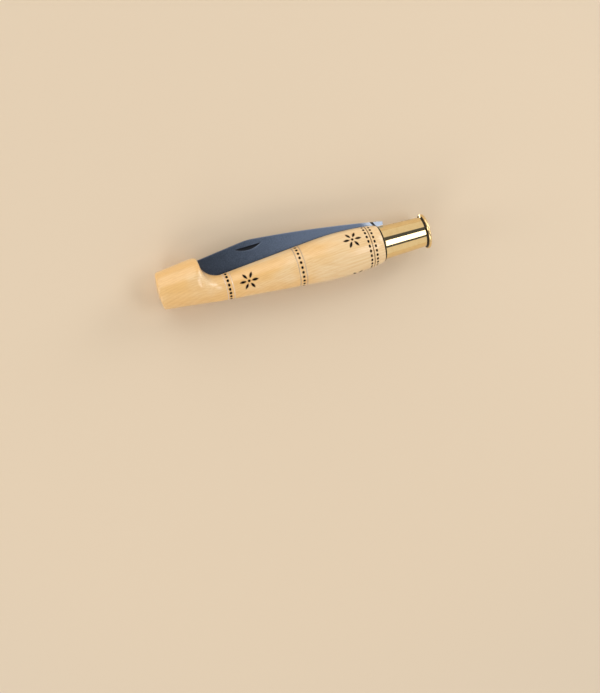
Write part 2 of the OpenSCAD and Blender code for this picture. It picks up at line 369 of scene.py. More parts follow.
@dataclass(frozen=True)
class EffectGroups:
    """Node groups that more than one finish uses.

    Each noise below is given by its turns a millimetre, its levels of finer noise and its stretch.
    """

    place: bpy.types.NodeTree
    grain: bpy.types.NodeTree
    mottle: bpy.types.NodeTree

    WANDER_NOISE = (0.06, 0.0, (0.45, 1.0, 1.0))
    RIPPLE_NOISE = (1.0, 2.0, (0.05, 0.4, 0.4))
    FIBRE_NOISE = (1.0, 4.0, (0.05, 2.2, 2.2))
    FIGURE_NOISE = (0.1, 2.0, (0.5, 1.0, 1.0))
    CLOUD_NOISE = (0.35, 3.0)
    SPECK_NOISE = (2.6, 3.0)
    LINE_NOISE = (3.0, 3.0)
    PITH = (0.0, -34.0, 10.0)
    PITH_TILT = (0.0, -0.06, -0.04)
    WANDER = 6.0
    RIPPLE = 0.4
    RING_GROWS = (0.2, 0.88)
    RING_ENDS = (1.0, 0.92)

    @classmethod
    def build(cls, axis: FerruleAxis) -> EffectGroups:
        """Builds each group once, with places measured from the axis."""
        return cls(cls._place(axis), cls._grain(), cls._mottle())

    @staticmethod
    def _place(axis: FerruleAxis) -> bpy.types.NodeTree:
        """Place on the knife in millimetres: the point, its distance along, angle and radius.

        Args:
            axis: The line that places are measured from.

        Returns:
            The group.
        """
        outputs = {"Point": "Vector", "Along": "Float", "Angle": "Float", "Radius": "Float"}
        wiring, given = start_group("knife place", {"Object": "Vector"}, outputs)
        point = given["Object"].vector("MULTIPLY", (1 / METRES,) * 3)
        point = point.vector("SUBTRACT", (axis.butt_x, axis.y, axis.z))
        along, across, height = point.parts()
        angle = np.arctan2(height, across)
        radius = np.sqrt(across * across + height * height)
        results = {"Point": point, "Along": along, "Angle": angle, "Radius": radius}
        wiring.node("NodeGroupOutput", results)
        return wiring.tree

    @classmethod
    def _grain(cls) -> bpy.types.NodeTree:
        """Boxwood grain: growth rings round a far-off pith, fibres along them and broad figure.

        Formula: the distance from a tilted pith, bent by broad noise, over the ring spacing. The
        share of each ring rises slowly to a fine dark line at its end. The fibres are noise drawn
        out along the pith.

        Returns:
            The group.
        """
        outputs = {"Ring": "Float", "Fibre": "Float", "Figure": "Float"}
        inputs = {"Point": "Vector", "Spacing": "Float"}
        wiring, given = start_group("boxwood grain", inputs, outputs)
        point = given["Point"]
        mapping = {0: point, 1: cls.PITH, 2: cls.PITH_TILT}
        turned = wiring.signal("ShaderNodeMapping", mapping)
        _, across, height = turned.parts()
        reach = np.sqrt(across * across + height * height)
        reach = reach + point.noise(*cls.WANDER_NOISE) * cls.WANDER
        reach = reach + point.noise(*cls.RIPPLE_NOISE) * cls.RIPPLE
        share = wiring.math("FRACT", reach / given["Spacing"])
        ring = share.rise(*cls.RING_GROWS) * share.rise(*cls.RING_ENDS)
        fibre = turned.noise(*cls.FIBRE_NOISE)
        figure = point.noise(*cls.FIGURE_NOISE)
        wiring.node("NodeGroupOutput", {"Ring": ring, "Fibre": fibre, "Figure": figure})
        return wiring.tree

    @classmethod
    def _mottle(cls) -> bpy.types.NodeTree:
        """Mottling and fine marks on metal: cloudy tone, small specks and drawn-out lines.

        Returns:
            The group.
        """
        inputs = {"Point": "Vector", "Drawn": "Vector", "Scale": "Float"}
        outputs = {"Cloud": "Float", "Speck": "Float", "Line": "Float"}
        wiring, given = start_group("metal mottle", inputs, outputs)
        scaled = given["Point"].vector("MULTIPLY", given["Scale"])
        cloud = scaled.noise(*cls.CLOUD_NOISE)
        speck = scaled.noise(*cls.SPECK_NOISE)
        line = scaled.noise(*cls.LINE_NOISE, given["Drawn"])
        wiring.node("NodeGroupOutput", {"Cloud": cloud, "Speck": speck, "Line": line})
        return wiring.tree


@dataclass(frozen=True)
class Shader:
    """A new material, its wiring and the place on the knife that its patterns read."""

    material: bpy.types.Material
    wiring: Wiring
    place: dict[str, Signal]

    @classmethod
    def start(cls, name: str, groups: EffectGroups) -> Shader:
        """Starts a material.

        Args:
            name: Name of the material.
            groups: Shared effect groups.

        Returns:
            The shader.
        """
        material = bpy.data.materials.new(name)
        material.use_nodes = True
        wiring = Wiring(material.node_tree)
        point = wiring.signal("ShaderNodeTexCoord", output="Object")
        place = wiring.signals("ShaderNodeGroup", {"Object": point}, node_tree=groups.place)
        return cls(material, wiring, place)

    def group(self, tree: bpy.types.NodeTree, **inputs: object) -> dict[str, Signal]:
        """The outputs of an effect group that reads the point on the knife."""
        inputs["Point"] = self.place["Point"]
        return self.wiring.signals("ShaderNodeGroup", inputs, node_tree=tree)

    def finish(self, height: Signal, depth: float, **sockets: object) -> bpy.types.Material:
        """Feeds the Principled shader.

        Args:
            height: Height from 0 to 1 that bends the normal.
            depth: What that height is in millimetres.
            **sockets: Constants and signals by socket name, with underscores for spaces.

        Returns:
            The finished material.
        """
        bump = {"Height": height, "Distance": depth * METRES, "Strength": 1.0}
        sockets["Normal"] = self.wiring.signal("ShaderNodeBump", bump)
        principled = self.material.node_tree.nodes["Principled BSDF"]
        for key, value in sockets.items():
            self.wiring.feed(principled.inputs[key.replace("_", " ")], value)
        return self.material


def from_nearest(angle: Values, count: int, radius: Values) -> Values:
    """Distance round the handle from the nearest of evenly spaced places.

    Formula: the angle in steps of the spacing, less the nearest whole number of steps, as an arc.

    Args:
        angle: Angle from one of the places.
        count: Number of places.
        radius: The handle's radius.

    Returns:
        The distance, of either sign.
    """
    steps = angle * (count / TURN)
    return (steps - np.rint(steps)) * (TURN * radius / count)


@dataclass(frozen=True)
class TurnedLine:
    """A fine line cut round the handle with the point of a tool."""

    at: float
    width: float = 0.42
    depth: float = 0.2
    tone: float = 0.5
    # Share of painted highlight: a pale colour laid in the groove for the light its walls catch.
    waxed: float = 0.0
    char_edge: Span = (1.0, 0.25)
    scorch_edge: Span = (1.9, 0.9)
    wax_edge: Span = (1.1, 0.7)

    def reach(self) -> float:
        """Half the ornament's length along the handle."""
        return self.width / 2

    def carve(self, along: np.ndarray, angle: np.ndarray, radius: np.ndarray) -> np.ndarray:
        """Depth below the surface. Formula: a rounded groove, deepest in its middle."""
        return self.depth * np.maximum(1 - self._share(along) ** 2, 0)

    def burn(self, along: Signal, angle: Signal, radius: float) -> Masks:
        """Masks of char, scorch and painted highlight.

        Args:
            along: Distance from the butt.
            angle: Angle round the axis, which is not used.
            radius: The handle's radius, which is not used.

        Returns:
            The three masks.
        """
        share = self._share(along)
        char = share.rise(*self.char_edge) * self.tone
        scorch = share.rise(*self.scorch_edge) * self.tone
        return char, scorch, share.rise(*self.wax_edge) * self.waxed

    def _share(self, along: Values) -> Values:
        """Distance from the line's middle, over half its width."""
        return abs(along - self.at) / (self.width / 2)


@dataclass(frozen=True)
class DotRow:
    """A row of oval dots burnt round the handle, even on both sides of the slot."""

    at: float
    count: int
    length: float = 0.96
    width: float = 1.22
    depth: float = 0.38
    slot_side: float = math.radians(13.0)
    char_edge: Span = (1.22, 0.95)
    scorch_edge: Span = (1.6, 1.0)

    def reach(self) -> float:
        """Half the ornament's length along the handle."""
        return self.length / 2

    def carve(self, along: np.ndarray, angle: np.ndarray, radius: np.ndarray) -> np.ndarray:
        """Depth below the surface. Formula: a bowl over the dot's oval, clear of the slot."""
        bowl = np.sqrt(np.maximum(1 - self._share(along, angle, radius) ** 2, 0))
        return self.depth * bowl * (abs(angle) > self.slot_side)

    def burn(self, along: Signal, angle: Signal, radius: float) -> Masks:
        """Masks of char, scorch and painted highlight, of which a dot has none."""
        share, clear = self._share(along, angle, radius), abs(angle) > self.slot_side
        return share.rise(*self.char_edge) * clear, share.rise(*self.scorch_edge) * clear, 0.0

    def _share(self, along: Values, angle: Values, radius: Values) -> Values:
        """Distance from the nearest dot's middle, over the oval's own radius that way.

        Args:
            along: Distance from the butt.
            angle: Angle round the axis.
            radius: The handle's radius.

        Returns:
            The share, which is 1 on the oval's edge.
        """
        ahead = (along - self.at) / (self.length / 2)
        around = from_nearest(angle - math.pi, self.count, radius) / (self.width / 2)
        return np.sqrt(ahead * ahead + around * around)


@dataclass(frozen=True)
class RosetteRow:
    """Small rosettes of burnt petals round a dot, spaced evenly round the handle."""

    at: float
    turn: float
    count: int = 3
    petals: int = 6
    inner: float = 1.15
    outer: float = 4.0
    petal_width: float = 1.05
    eye: float = 0.55
    depth: float = 0.16
    char_edge: Span = (-0.05, 0.09)
    scorch_edge: Span = (-0.4, 0.0)

    def reach(self) -> float:
        """Half the ornament's length along the handle."""
        return self.outer

    def carve(self, along: np.ndarray, angle: np.ndarray, radius: np.ndarray) -> np.ndarray:
        """Depth below the surface. Formula: the deeper of the petal's lens and the eye's bowl.

        Args:
            along: Distance from the butt.
            angle: Angle round the axis.
            radius: The handle's radius.

        Returns:
            The depth.
        """
        petal, distance = self._petal(along, angle, radius)
        hollow = np.maximum(petal / (self.petal_width / 2), 1 - (distance / self.eye) ** 2)
        return self.depth * np.sqrt(np.maximum(hollow, 0))

    def burn(self, along: Signal, angle: Signal, radius: float) -> Masks:
        """Masks of char, scorch and painted highlight, of which a rosette has none.

        Args:
            along: Distance from the butt.
            angle: Angle round the axis.
            radius: The handle's radius.

        Returns:
            The three masks.
        """
        petal, distance = self._petal(along, angle, radius)
        inside = np.maximum(petal, self.eye - distance)
        return inside.rise(*self.char_edge), inside.rise(*self.scorch_edge), 0.0

    def _petal(self, along: Values, angle: Values, radius: Values) -> tuple[Values, Values]:
        """Place in the nearest rosette.

        Formula: in polar terms round its centre, the direction is folded into one petal's sector. A
        petal is a lens whose half width falls with the square of the distance from its middle.

        Args:
            along: Distance from the butt.
            angle: Angle round the axis.
            radius: The handle's radius.

        Returns:
            How far inside a petal the place is, and its distance from the rosette's centre.
        """
        ahead = along - self.at
        around = from_nearest(angle - math.radians(self.turn), self.count, radius)
        distance = np.sqrt(ahead * ahead + around * around)
        sectors = np.arctan2(around, ahead) * (self.petals / TURN)
        fold = (sectors - np.rint(sectors)) * (TURN / self.petals)
        middle, half = (self.outer + self.inner) / 2, (self.outer - self.inner) / 2
        out = (distance * np.cos(fold) - middle) / half
        lens = (1 - out * out) * (self.petal_width / 2)
        return lens - abs(distance * np.sin(fold)), distance


Ornament = TurnedLine | DotRow | RosetteRow


@dataclass(frozen=True)
class BoxwoodFinish:
    """Polished boxwood: pale gold, warmer in places, with fine rings and burnt ornament. It is
    warmer towards the butt and paler towards the shoulder, partly its own tone and partly a painted
    sheen, with painted highlights in the pale grooves and painted shade at its end by the ferrule.
    """

    pale: Colour = (0.86, 0.645, 0.37)
    honey: Colour = (0.84, 0.53, 0.21)
    ring: Colour = (0.68, 0.37, 0.12)
    scorched: Colour = (0.27, 0.115, 0.035)
    charred: Colour = (0.006, 0.004, 0.003)
    # Pale colour of the painted highlight in the turned grooves.
    wax: Colour = (0.93, 0.80, 0.68)
    sawn: Colour = (0.46, 0.29, 0.13)
    ring_spacing: float = 0.8
    ring_strength: float = 0.22
    streak_edge: Span = (0.42, 0.66)
    streak_strength: float = 0.28
    warm_edge: Span = (0.32, 0.68)
    # Warmer towards the butt, paler towards the shoulder: partly the wood's own tone, partly a
    # painted sheen.
    warmer_over: Span = (5.0, 90.0)
    warmer_by: Span = (0.1, -0.14)
    scorch_strength: float = 0.5
    waver: float = 0.16
    waver_noise: Span = (1.3, 1.0)
    # Where painted shade darkens the wood's end beside the ferrule.
    joint_edge: Span = (97.02, 97.22)
    neck_edge: Span = (98.6, 98.8)
    neck_bareness: float = 0.45
    fibre_range: Span = (0.3, 0.7)
    roughness: Span = (0.3, 0.4)
    charred_roughness: float = 0.9
    sawn_roughness: float = 0.7
    char_metallic: float = 0.7
    coat: float = 0.8
    coat_roughness: float = 0.17
    fibre_depth: float = 0.02

    def build(self, groups: EffectGroups, ornaments: dict[Ornament, float]) -> bpy.types.Material:
        """Builds the material.

        Args:
            groups: Shared effect groups.
            ornaments: Each ornament and the handle's radius where it lies.

        Returns:
            The finished material.
        """
        shader = Shader.start("polished boxwood", groups)
        along = shader.place["Along"]
        grain = shader.group(groups.grain, Spacing=self.ring_spacing)
        # Warmer towards the butt and paler towards the shoulder: partly the wood's own tone, partly
        # a painted sheen.
        warm = grain["Figure"] + along.rise(*self.warmer_over, *self.warmer_by)
        colour = warm.rise(*self.warm_edge).blend(self.pale, self.honey)
        colour = (grain["Ring"] * self.ring_strength).blend(colour, self.ring)
        streak = grain["Fibre"].rise(*self.streak_edge, 0.0, self.streak_strength)
        colour = streak.blend(colour, self.ring)
        char, scorch, wax = self._burnt(shader.place, ornaments)
        neck = along.rise(*self.neck_edge)
        inside = shader.wiring.signal("ShaderNodeAttribute", output="Fac", attribute_name="sawn")
        inside = np.maximum(inside, neck * self.neck_bareness)
        colour = inside.blend(colour, self.sawn)
        colour = (scorch * self.scorch_strength).blend(colour, self.scorched)
        # Painted highlight: the turned grooves are coloured pale for the light that their walls
        # catch.
        colour = wax.blend(colour, self.wax)
        # Painted shade: the wood's end by the ferrule takes the charred colour for the shade in the
        # joint's gap.
        char = np.maximum(char, along.rise(*self.joint_edge) - neck)
        colour = char.blend(colour, self.charred)
        rough = grain["Fibre"].rise(*self.fibre_range, *self.roughness)
        rough = np.maximum(rough, char * self.charred_roughness)
        rough = np.maximum(rough, inside * self.sawn_roughness)
        return shader.finish(
            grain["Fibre"],
            self.fibre_depth,
            Base_Color=colour,
            Roughness=rough,
            Metallic=char * self.char_metallic,
            Coat_Weight=np.maximum(char, inside).rise(0.0, 1.0, self.coat, 0.0),
            Coat_Roughness=self.coat_roughness,
        )

    def _burnt(self, place: dict[str, Signal], ornaments: dict[Ornament, float]) -> Masks:
        """Joins all ornaments into one mask each, with edges that waver as burns do.

        Args:
            place: Place on the knife.
            ornaments: Each ornament and the handle's radius where it lies.

        Returns:
            Masks of char, scorch and painted highlight.
        """
        along = place["Along"] + (place["Point"].noise(*self.waver_noise) - 0.5) * self.waver
        joined = (0.0, 0.0, 0.0)
        for ornament, radius in ornaments.items():
            masks = ornament.burn(along, place["Angle"], radius)
            joined = tuple(np.maximum(old, new) for old, new in zip(joined, masks))
        return joined


@dataclass(frozen=True)
class BladeFinish:
    """Carbon steel with a blue-grey skin and a bright whetted edge. Its tone is painted paler
    towards the tang as painted light, a painted highlight runs along the back, and painted shade
    fills the nail nick and the step by the tang.
    """

    dark: Colour = (0.075, 0.094, 0.13)
    light: Colour = (0.155, 0.20, 0.285)
    whetted: Colour = (0.62, 0.65, 0.70)
    # Paler colour along the back: partly rubbed wear, partly a painted highlight on its edge.
    rubbed: Colour = (0.30, 0.37, 0.48)
    bright: Colour = (0.62, 0.70, 0.82)
    # Near-black colour of the painted shade in the nail nick and at the step by the tang.
    dirt: Colour = (0.015, 0.015, 0.018)
    metallic: float = 0.9
    drawn: Place = (0.12, 1.0, 1.0)
    # Span of the painted light, from dark at the tip to paler towards the tang.
    paler_over: Span = (92.0, 40.0)
    cloud_strength: float = 0.3
    speck_strength: float = 1.5
    rubbed_edge: Span = (0.45, 0.1)
    rubbed_strength: float = 0.6
    whetted_edge: Span = (0.4, 0.32)
    whetted_from: Span = (12.8, 13.2)
    worn_edge: Span = (5.8, 2.0)
    worn_strength: float = 0.75
    # Place and edges of the painted shade line at the step by the tang, and of the painted shade in
    # the nail nick.
    corner_at: float = 0.65
    corner_edge: Span = (0.75, 0.4)
    sunk_edge: Span = (0.02, 0.2)
    nick_from: Span = (58.0, 60.0)
    dirt_strength: float = 0.93
    speck_range: Span = (0.3, 0.7)
    roughness: Span = (0.32, 0.44)
    whetted_smoother: float = 0.16
    dirt_roughness: float = 0.75
    line_depth: float = 0.008

    def build(self, groups: EffectGroups, blade: Blade) -> bpy.types.Material:
        """Builds the material.

        Args:
            groups: Shared effect groups.
            blade: The blade, whose outline the marks follow.

        Returns:
            The finished material.
        """
        shader = Shader.start("blued carbon steel", groups)
        point = shader.place["Point"]
        out, up = blade.coordinates(point)
        mottle = shader.group(groups.mottle, Drawn=self.drawn, Scale=1.0)
        # Painted light: the tone runs from dark at the tip to paler towards the tang, as the light
        # falls along the blade.
        tone = out.rise(*self.paler_over) + (mottle["Cloud"] - 0.5) * self.cloud_strength
        tone = tone + (mottle["Speck"] - 0.5) * self.speck_strength
        colour = np.maximum(tone, 0.0).blend(self.dark, self.light)
        # A paler band along the back: partly rubbed wear, partly a painted highlight on the back's
        # edge.
        rubbed = blade.below_back(out, up).rise(*self.rubbed_edge, 0.0, self.rubbed_strength)
        colour = rubbed.blend(colour, self.rubbed)
        above = blade.above_edge(out, up)
        whetted = above.rise(*self.whetted_edge) * out.rise(*self.whetted_from)
        colour = whetted.blend(colour, self.whetted)
        past_step = out - up * blade.step_slant - blade.step_at
        worn = past_step.rise(*self.worn_edge) * self.worn_strength
        colour = worn.blend(colour, self.bright)
        # Painted shade: the nail nick's hollow and a line at the step by the tang are painted near
        # black.
        nick = blade.sunk(point, above).rise(*self.sunk_edge) * out.rise(*self.nick_from)
        corner = abs(past_step - self.corner_at).rise(*self.corner_edge)
        painted_dark = np.maximum(nick, corner) * self.dirt_strength
        colour = painted_dark.blend(colour, self.dirt)
        rough = mottle["Speck"].rise(*self.speck_range, *self.roughness)
        rough = np.maximum(rough - whetted * self.whetted_smoother, painted_dark * self.dirt_roughness)
        sockets = {"Base_Color": colour, "Roughness": rough, "Metallic": self.metallic}
        return shader.finish(mottle["Line"], self.line_depth, **sockets)


@dataclass(frozen=True)
class BrassFinish:
    """Polished brass with turned marks, faint tarnish, a dull inside, and painted shade in the
    hollow behind the bead and at the rear edge.
    """

    bright: Colour = (0.88, 0.68, 0.36)
    tarnish: Colour = (0.74, 0.51, 0.22)
    dull: Colour = (0.30, 0.20, 0.09)
    # Near-black colour of the painted shade in the hollow and at the rear edge.
    grime: Colour = (0.018, 0.013, 0.008)
    drawn: Place = (1.0, 0.06, 0.06)
    mottle_scale: float = 1.4
    tarnish_edge: Span = (0.42, 0.75)
    tarnish_strength: float = 0.3
    inside_edge: Span = (-0.35, -0.5)
    speck_range: Span = (0.35, 0.75)
    roughness: Span = (0.06, 0.11)
    dull_rougher: float = 0.45
    grime_metallic: float = 0.2
    line_depth: float = 0.0015

    def build(self, groups: EffectGroups, ferrule: Ferrule) -> bpy.types.Material:
        """Builds the material.

        Args:
            groups: Shared effect groups.
            ferrule: The ferrule, whose hollow and rear edge take the painted shade.

        Returns:
            The finished material.
        """
        shader = Shader.start("polished brass", groups)
        mottle = shader.group(groups.mottle, Drawn=self.drawn, Scale=self.mottle_scale)
        tarnish = mottle["Cloud"].rise(*self.tarnish_edge, 0.0, self.tarnish_strength)
        colour = tarnish.blend(self.bright, self.tarnish)
        along = shader.place["Along"]
        above = shader.place["Radius"] - ferrule.outer(along)
        inside = above.rise(*self.inside_edge)
        # Painted shade: the hollow behind the bead and the rear edge by the joint are painted near
        # black.
        grime = ferrule.grime(along, above)
        colour = grime.blend(inside.blend(colour, self.dull), self.grime)
        rough = mottle["Speck"].rise(*self.speck_range, *self.roughness)
        return shader.finish(
            mottle["Line"],
            self.line_depth,
            Base_Color=colour,
            Roughness=rough + np.maximum(inside, grime) * self.dull_rougher,
            Metallic=grime.rise(0.0, 1.0, 1.0, self.grime_metallic),
        )


@dataclass(frozen=True)
class PinFinish:
    """Drawn steel wire, filed flush and greyed with age."""

    steel: Colour = (0.46, 0.45, 0.43)
    grey: Colour = (0.22, 0.20, 0.18)
    drawn: Place = (0.1, 1.0, 1.0)
    mottle_scale: float = 3.0
    grey_edge: Span = (0.35, 0.7)
    line_range: Span = (0.3, 0.7)
    roughness: Span = (0.28, 0.48)
    line_depth: float = 0.01

    def build(self, groups: EffectGroups) -> bpy.types.Material:
        """Builds the material.

        Args:
            groups: Shared effect groups.

        Returns:
            The finished material.
        """
        shader = Shader.start("filed steel pin", groups)
        mottle = shader.group(groups.mottle, Drawn=self.drawn, Scale=self.mottle_scale)
        colour = mottle["Cloud"].rise(*self.grey_edge).blend(self.steel, self.grey)
        rough = mottle["Line"].rise(*self.line_range, *self.roughness)
        sockets = {"Base_Color": colour, "Roughness": rough, "Metallic": 1.0}
        return shader.finish(mottle["Line"], self.line_depth, **sockets)


@dataclass(frozen=True)
class BladeSlot:
    """Saw cut that takes the closed blade, with the saw's run-out in the clog."""

    half_width: float = 1.3
    floor: float = -3.35
    floor_slope: float = 0.0724
    level_from: float = 94.9
    saw_radius: float = 26.0
    saw_at: float = 30.5
    saw_height: float = 27.56
    lip: float = 0.32
    neck_lip: float = 0.08
    least_depth: float = 0.02

    def floor_height(self, along: np.ndarray) -> np.ndarray:
        """Height of the slot's floor towards the slot's mouth.

        Formula: the lower of the saw's circle and of the sawn line, which rises steadily towards
        the butt from where the floor is level.

        Args:
            along: Distance from the butt.

        Returns:
            The floor's distance from the axis, high up where the saw doesn't reach.
        """
        line = self.floor + self.floor_slope * np.clip(self.level_from - along, 0, None)
        circle = self.saw_height - half_chord(self.saw_radius, along - self.saw_at)
        return np.where(along > self.saw_at, np.minimum(line, circle), circle)


@dataclass
class BoxwoodHandle:
    """Handle turned from boxwood on two axes, sawn for the blade and burnt with ornament.

    Angles of the sanded zones are in degrees from the slot.
    """

    axis: FerruleAxis
    finish: BoxwoodFinish
    slot: BladeSlot = BladeSlot()
    butt_radius: float = 8.0
    dome_radius: float = 30.0
    rim_radius: float = 0.9
    clog_angle: float = 6.8
    crest_radius: float = 2.5
    waist_at: float = 27.05
    scoop_radius: float = 7.75
    waist_radius: float = 5.65
    spindle_angle: float = 5.0
    belly_start: float = 68.0
    belly_curve: float = 126.0
    shoulder_length: float = 4.0
    shoulder_curve: float = 16.0
    wood_length: float = 97.5
    end_rounding: float = 0.12
    groove_radius: float = 5.9
    groove_end: float = 98.8
    neck_radius: float = 6.415
    neck_taper: float = 2.0
    neck_end: float = 118.0
    neck_chamfer: float = 0.4
    crest_blend: float = 1.2
    side_blend: float = 4.6
    underside_blend: float = 0.25
    middle_moves_from: float = 8.0
    crest_sanding: float = 2.5
    side_sanding: float = 5.0
    softer_over: Span = (35.0, 80.0)
    sanded_past: Span = (10.0, 40.0)
    sanded_up_to: Span = (125.0, 165.0)
    sanded_from: Span = (8.0, 11.0)
    sanded_to: float = 23.5
    butt_lean: float = 8.0
    lean_shift: float = 0.3
    lean_fades: Span = (2.0, 14.0)
    pole_angle: float = 0.5
    dome_chords: int = 9
    rim_chords: int = 10
    crest_chords: int = 16
    scoop_chords: int = 38
    end_chords: int = 4
    neck_rings: int = 16
    clog_steps: tuple[Place, ...] = ((2.4, 8.0, 0.8), (8.0, 11.0, 0.15))
    to_crest: Span = (11.2, 0.45)
    scoop_arc: Span = (180.0, 262.0)
    scoop_margin: float = 0.2
    fine_step: float = 0.17
    plain_every: int = 5
    ornament_margin: float = 0.35
    plain_waist: float = 1.0
    skin_columns: int = 216
    lip_points: int = 5
    floor_points: int = 3
    ornaments: tuple[Ornament, ...] = (
        TurnedLine(27.95, width=0.45, tone=0.12, waxed=0.6),
        DotRow(29.15, 19),
        TurnedLine(30.75, width=0.45, tone=0.12, waxed=0.6),
        RosetteRow(37.6, 90.0),
        TurnedLine(59.0, width=0.5, tone=0.35, waxed=0.3),
        DotRow(60.45, 25, width=1.1),
        TurnedLine(61.9, width=0.5, tone=0.35, waxed=0.3),
        RosetteRow(84.2, 57.0),
        DotRow(90.55, 27, length=0.84),
        TurnedLine(91.9, tone=0.75),
        DotRow(93.2, 28, length=0.84, width=1.1),
    )

    def __post_init__(self) -> None:
        """Works out the tangent arcs of the two turnings from the sizes above."""
        tilt, taper = math.radians(self.clog_angle), math.radians(self.spindle_angle)
        inner = self.dome_radius - self.rim_radius
        self.rim_angle = math.asin((self.butt_radius - self.rim_radius * math.cos(tilt)) / inner)
        rim_x, rim_y = inner * math.cos(self.rim_angle), inner * math.sin(self.rim_angle)
        self.rim_centre = (self.dome_radius - rim_x, rim_y)
        self.side_at = self.rim_centre[0] - self.rim_radius * math.sin(tilt)
        self.offset = float(self.clog_radius(np.array(self.waist_at))) - self.waist_radius
        self.scoop_centre = (self.waist_at, self.waist_radius + self.scoop_radius)
        self.taper_at = self.waist_at + self.scoop_radius * math.sin(taper)
        self.taper_radius = self.scoop_centre[1] - self.scoop_radius * math.cos(taper)
        belly_height = self.taper_radius + (self.belly_start - self.taper_at) * math.tan(taper)
        belly_x = self.belly_start + self.belly_curve * math.sin(taper)
        self.belly_centre = (belly_x, belly_height - self.belly_curve * math.cos(taper))
        self.shoulder_at = self.wood_length - self.shoulder_length
        turn = math.asin((self.shoulder_at - belly_x) / self.belly_curve)
        reach = self.belly_curve - self.shoulder_curve
        shoulder_y = self.belly_centre[1] + reach * math.cos(turn)
        self.shoulder_centre = (belly_x + reach * math.sin(turn), shoulder_y)

    def clog_radius(self, along: np.ndarray) -> np.ndarray:
        """Radius of the first turning: the butt's dome, its rounded rim and the tapered clog.

        Formula: a wide circle, then a small one tangent to it, then a straight line tangent to that.

        Args:
            along: Distance from the butt.

        Returns:
            The radius round the clog's own axis.
        """
        dome = half_chord(self.dome_radius, self.dome_radius - along)
        rim = self.rim_centre[1] + half_chord(self.rim_radius, along - self.rim_centre[0])
        cone = self.butt_radius + (along - self.side_at) * math.tan(math.radians(self.clog_angle))
        dome_end = self.dome_radius * (1 - math.cos(self.rim_angle))
        return np.select([along < dome_end, along < self.side_at], [dome, rim], cone)

    def spindle_radius(self, along: np.ndarray) -> np.ndarray:
        """Radius of the second turning from the scoop's middle to the end of the bare wood.

        Formula: the scoop's circle, the straight taper, the belly's wide circle and the shoulder's
        small circle, each tangent to the last.

        Args:
            along: Distance from the butt.

        Returns:
            The radius round the ferrule's axis.
        """
        scoop = self.scoop_centre[1] - half_chord(self.scoop_radius, along - self.waist_at)
        slope = math.tan(math.radians(self.spindle_angle))
        taper = self.taper_radius + (along - self.taper_at) * slope
        bulges = [
            centre[1] + half_chord(radius, along - centre[0])
            for centre, radius in (
                (self.belly_centre, self.belly_curve),
                (self.shoulder_centre, self.shoulder_curve),
            )
        ]
        zones = [along < self.taper_at, along < self.belly_start, along < self.shoulder_at]
        return np.select(zones, [scoop, taper, bulges[0]], bulges[1])

    def stations(self) -> tuple[np.ndarray, np.ndarray]:
        """Distance from the butt and spindle radius of each section, from butt to neck.

        Steps are fine where ornament is burnt, round the rim and crest, and where the saw runs out.

        Returns:
            The distances and the radii.
        """
        rim_from = 180 - math.degrees(self.rim_angle)
        pole = (self.dome_radius, 0)
        dome = arc(pole, self.dome_radius, 180 - self.pole_angle, rim_from, self.dome_chords)
        rim_to = 90 + self.clog_angle
        rim = arc(self.rim_centre, self.rim_radius, rim_from, rim_to, self.rim_chords)[1:]
        crest_at = self.waist_at - self.scoop_radius - self.crest_radius
        steps = [*self.clog_steps, (self.to_crest[0], crest_at, self.to_crest[1])]
        clog = [np.arange(*each) for each in steps]
        before = np.concatenate([dome[:, 0], rim[:, 0], *clog])
        crest = arc((crest_at, self.scoop_centre[1]), self.crest_radius, 90, 0, self.crest_chords)
        scoop = arc(self.scoop_centre, self.scoop_radius, *self.scoop_arc, self.scoop_chords)[1:]
        end_at = self.wood_length - self.end_rounding
        turned = np.arange(scoop[-1, 0] + self.scoop_margin, end_at, self.fine_step)
        turned = turned[self._needed(turned)]
        last = float(self.spindle_radius(np.array(end_at)))
        neck = np.linspace(self.groove_end, self.neck_end - self.neck_chamfer, self.neck_rings)
        slope = math.tan(math.radians(self.neck_taper))
        neck_radius = self.neck_radius - (neck - self.groove_end) * slope
        runs = [
            np.stack([before, np.full(len(before), crest[0, 1])], axis=1),
            crest,
            scoop,
            np.stack([turned, self.spindle_radius(turned)], axis=1),
            arc((end_at, last - self.end_rounding), self.end_rounding, 90, 0, self.end_chords),
            [(self.wood_length, self.groove_radius), (self.groove_end, self.groove_radius)],
            np.stack([neck, neck_radius], axis=1),
            [(self.neck_end, neck_radius[-1] - self.neck_chamfer)],
        ]
        along, radius = np.concatenate(runs).T
        return along, radius

    def _needed(self, along: np.ndarray) -> np.ndarray:
        """Picks the fine steps that stay.

        All of those near ornament do, but two in three of them in a rosette, and few elsewhere.

        Args:
            along: Distance of each fine step from the butt.

        Returns:
            Whether each step stays.
        """
        index = np.arange(len(along))
        needed = index % self.plain_every == 0
        for ornament in self.ornaments:
            near = abs(along - ornament.at) < ornament.reach() + self.ornament_margin
            needed |= near & ((index % 3 != 1) | (not isinstance(ornament, RosetteRow)))
        return needed

